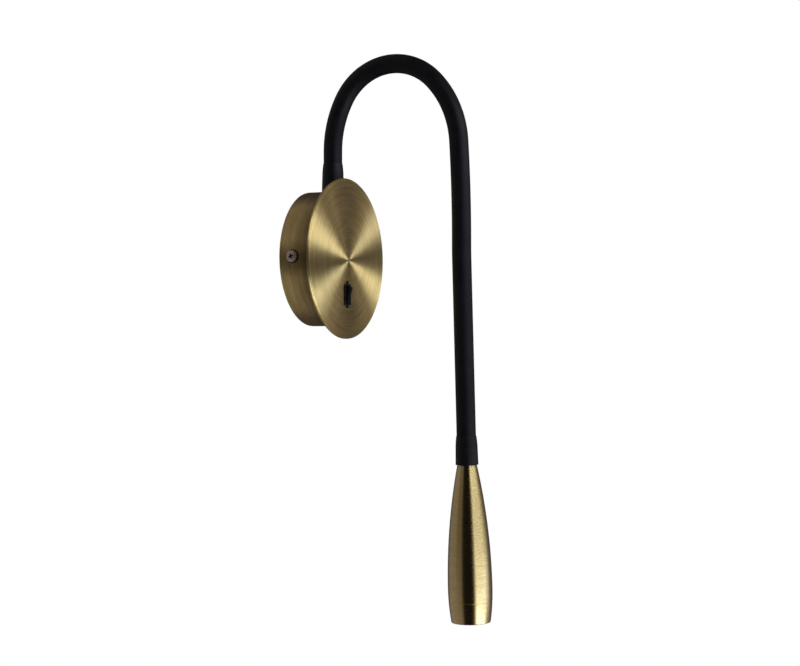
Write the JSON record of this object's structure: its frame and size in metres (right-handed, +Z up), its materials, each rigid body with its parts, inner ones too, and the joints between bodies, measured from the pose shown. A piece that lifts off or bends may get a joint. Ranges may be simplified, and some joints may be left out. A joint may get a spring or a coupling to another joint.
{
  "type": "wall sconce",
  "caption": "Wall spot light: round brass canopy with a rocker switch, a black bendable hose arched into the room, and a slim brass LED head that aims downwards.",
  "frame": {"origin": "middle of the wall bracket's back face, on the wall plane and on the canopy's axis", "axes": "+Z up, +Y into the wall, -Y into the room, +X to the right of someone who faces the light"},
  "size_m": [0.12, 0.1452, 0.4138],
  "materials": {
    "brass_drum": "brushed antique",
    "brass_disc": "spun antique",
    "brass_head": "brushed antique",
    "brass_ring": "brushed antique",
    "hose_rubber": "matt",
    "sleeve_rubber": "satin",
    "core_steel": "wound",
    "zinc_steel": "zinc plated",
    "screw_steel": "nickel plated",
    "fitting_steel": "turned",
    "switch_black": "satin",
    "rocker_black": "satin",
    "nylon_white": "plain",
    "contact_brass": "plain",
    "driver_white": "moulded",
    "board_green": "coated",
    "block_white": "moulded",
    "mains_insulation": "plain",
    "led_insulation": "plain",
    "sink_aluminium": "turned",
    "led_board_white": "white coated",
    "led_phosphor": "plain",
    "holder_black": "moulded",
    "lens_clear": "polished",
    "gasket_rubber": "matt"
  },
  "bodies": {
    "canopy": {"wall_bracket": "zinc_steel", "earth_screw": "zinc_steel", "canopy_screws": "screw_steel", "canopy_drum": "brass_drum", "front_disc": "brass_disc", "disc_nuts": "zinc_steel", "switch_housing": "switch_black", "switch_contact": "contact_brass", "switch_terminals": "contact_brass", "driver_case": "driver_white", "driver_board": "board_green", "terminal_block": "block_white", "mains_leads": "mains_insulation", "led_leads": "led_insulation", "gooseneck_nipple": "fitting_steel", "nipple_nut": "zinc_steel", "base_sleeve": "sleeve_rubber", "hose_skin_00": "hose_rubber", "hose_core_00": "core_steel"},
    "rocker": {"switch_rocker": "rocker_black", "switch_plunger": "nylon_white"},
    "link_01": {"hose_skin_01": "hose_rubber", "hose_core_01": "core_steel"},
    "link_02": {"hose_skin_02": "hose_rubber", "hose_core_02": "core_steel"},
    "link_03": {"hose_skin_03": "hose_rubber", "hose_core_03": "core_steel"},
    "link_04": {"hose_skin_04": "hose_rubber", "hose_core_04": "core_steel"},
    "link_05": {"hose_skin_05": "hose_rubber", "hose_core_05": "core_steel"},
    "link_06": {"hose_skin_06": "hose_rubber", "hose_core_06": "core_steel"},
    "link_07": {"hose_skin_07": "hose_rubber", "hose_core_07": "core_steel"},
    "link_08": {"hose_skin_08": "hose_rubber", "hose_core_08": "core_steel"},
    "link_09": {"hose_skin_09": "hose_rubber", "hose_core_09": "core_steel"},
    "link_10": {"hose_skin_10": "hose_rubber", "hose_core_10": "core_steel"},
    "link_11": {"hose_skin_11": "hose_rubber", "hose_core_11": "core_steel"},
    "link_12": {"hose_skin_12": "hose_rubber", "hose_core_12": "core_steel"},
    "head": {"hose_skin_13": "hose_rubber", "hose_core_13": "core_steel", "head_sleeve": "sleeve_rubber", "head_nipple": "fitting_steel", "head_shell": "brass_head", "front_ring": "brass_ring", "heat_sink": "sink_aluminium", "led_board": "led_board_white", "led_emitter": "led_phosphor", "board_screws": "screw_steel", "lens_holder": "holder_black", "lens": "lens_clear", "lens_gasket": "gasket_rubber", "head_leads": "led_insulation"}
  },
  "joints": [
    {"name": "base_sway", "type": "hinge", "parent": "canopy", "child": "link_01", "pos_m": [0, -0.017, 0.0745], "axis": [0.0001, -1, 0], "range_deg": [-20, 20]},
    {"name": "base_bend", "type": "hinge", "parent": "link_01", "child": "link_02", "pos_m": [0, -0.01783, 0.09246], "axis": [-1, 0.0001, 0.0001], "range_deg": [-1, 15]},
    {"name": "base_sway_2", "type": "hinge", "parent": "link_02", "child": "link_03", "pos_m": [0, -0.02238, 0.10984], "axis": [0.0001, -0.9328, -0.3604], "range_deg": [-20, 20]},
    {"name": "base_bend_2", "type": "hinge", "parent": "link_03", "child": "link_04", "pos_m": [0, -0.03096, 0.12558], "axis": [-1, 0.0001, 0.0001], "range_deg": [-1, 15]},
    {"name": "hoop_bend", "type": "hinge", "parent": "link_04", "child": "link_05", "pos_m": [0, -0.0446, 0.13715], "axis": [-1, 0.0001, 0.0001], "range_deg": [0, 20]},
    {"name": "hoop_bend_2", "type": "hinge", "parent": "link_05", "child": "link_06", "pos_m": [0, -0.06361, 0.14284], "axis": [-1, 0.0001, 0.0001], "range_deg": [0, 20]},
    {"name": "hoop_bend_3", "type": "hinge", "parent": "link_06", "child": "link_07", "pos_m": [0, -0.08325, 0.13999], "axis": [-1, 0.0001, 0.0001], "range_deg": [0, 20]},
    {"name": "drop_bend", "type": "hinge", "parent": "link_07", "child": "link_08", "pos_m": [0, -0.09986, 0.12913], "axis": [-1, 0.0001, 0.0001], "range_deg": [0, 20]},
    {"name": "drop_bend_2", "type": "hinge", "parent": "link_08", "child": "link_09", "pos_m": [0, -0.11166, 0.11306], "axis": [-1, 0.0001, 0.0001], "range_deg": [0, 20]},
    {"name": "neck_bend", "type": "hinge", "parent": "link_09", "child": "link_10", "pos_m": [0, -0.12109, 0.06552], "axis": [-1, 0.0001, 0.0001], "range_deg": [-8, 28]},
    {"name": "neck_sway", "type": "hinge", "parent": "link_10", "child": "link_11", "pos_m": [0, -0.12233, 0.01654], "axis": [0.0001, -1, 0.0045], "range_deg": [-28, 28]},
    {"name": "neck_bend_2", "type": "hinge", "parent": "link_11", "child": "link_12", "pos_m": [0, -0.12333, -0.03245], "axis": [-1, 0.0001, 0.0001], "range_deg": [-8, 28]},
    {"name": "neck_sway_2", "type": "hinge", "parent": "link_12", "child": "head", "pos_m": [0, -0.1247, -0.08143], "axis": [0.0001, -0.9996, 0.0279], "range_deg": [-28, 28]},
    {"name": "switch_rock", "type": "hinge", "parent": "canopy", "child": "rocker", "pos_m": [0, -0.0287, -0.0269], "axis": [-1, 0, 0], "range_deg": [0, 26]}
  ],
  "couplings": [
    {"joint": "base_sway_2", "follows": "base_sway", "ratio": 1},
    {"joint": "base_bend_2", "follows": "base_bend", "ratio": 1},
    {"joint": "hoop_bend_2", "follows": "hoop_bend", "ratio": 1},
    {"joint": "hoop_bend_3", "follows": "hoop_bend", "ratio": 1},
    {"joint": "drop_bend_2", "follows": "drop_bend", "ratio": 1},
    {"joint": "neck_bend_2", "follows": "neck_bend", "ratio": 1},
    {"joint": "neck_sway_2", "follows": "neck_sway", "ratio": 1}
  ]
}
